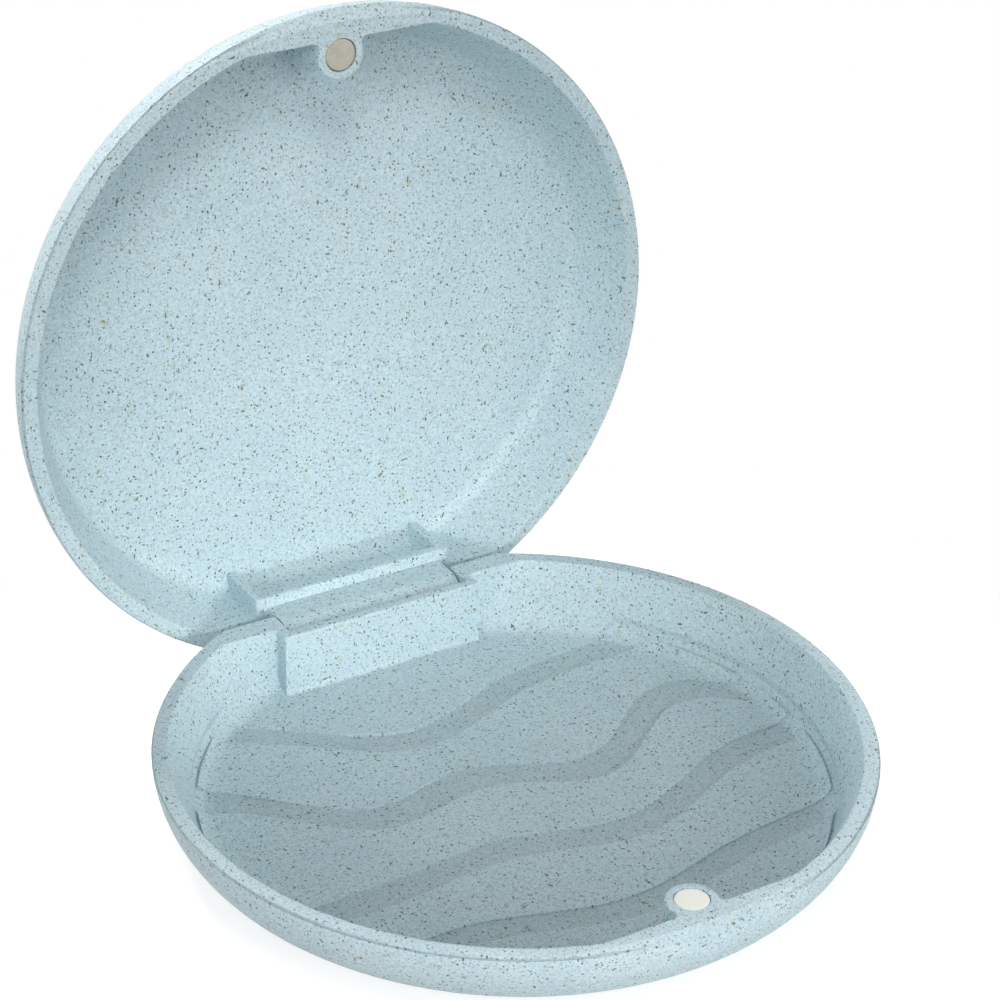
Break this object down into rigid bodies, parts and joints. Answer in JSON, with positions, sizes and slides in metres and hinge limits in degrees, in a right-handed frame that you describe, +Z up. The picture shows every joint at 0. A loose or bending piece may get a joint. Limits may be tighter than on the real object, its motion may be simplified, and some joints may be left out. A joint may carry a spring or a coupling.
{
  "type": "retainer case",
  "caption": "Shallow round case of speckled matte plastic, with a hinged lid, a flat back, a wavy channelled floor, a thumb scoop and a magnetic closure.",
  "frame": {"origin": "centre of the flat underside of the base, on the middle of the round rim", "axes": "+Z up, +Y towards the hinge, -Y towards the thumb scoop, X along the hinge pin"},
  "size_m": [0.0862, 0.0958, 0.0871],
  "materials": {
    "speckled_plastic": "pale blue, moulded with fine brown and grey-olive flecks, matte",
    "pin_steel": "drawn wire",
    "magnet_plating_bright": "ivory-white plated face, satin",
    "magnet_plating_dull": "grey-beige plated face, satin"
  },
  "bodies": {
    "base": {"base_shell": "speckled_plastic", "base_magnet": "magnet_plating_bright", "hinge_pin": "pin_steel"},
    "lid": {"lid_shell": "speckled_plastic", "lid_magnet": "magnet_plating_dull"}
  },
  "joints": [
    {"name": "lid_hinge", "type": "hinge", "parent": "base", "child": "lid", "pos_m": [0, 0.0372, 0.0069], "axis": [1, 0, 0], "range_deg": [0, 91.5]}
  ]
}
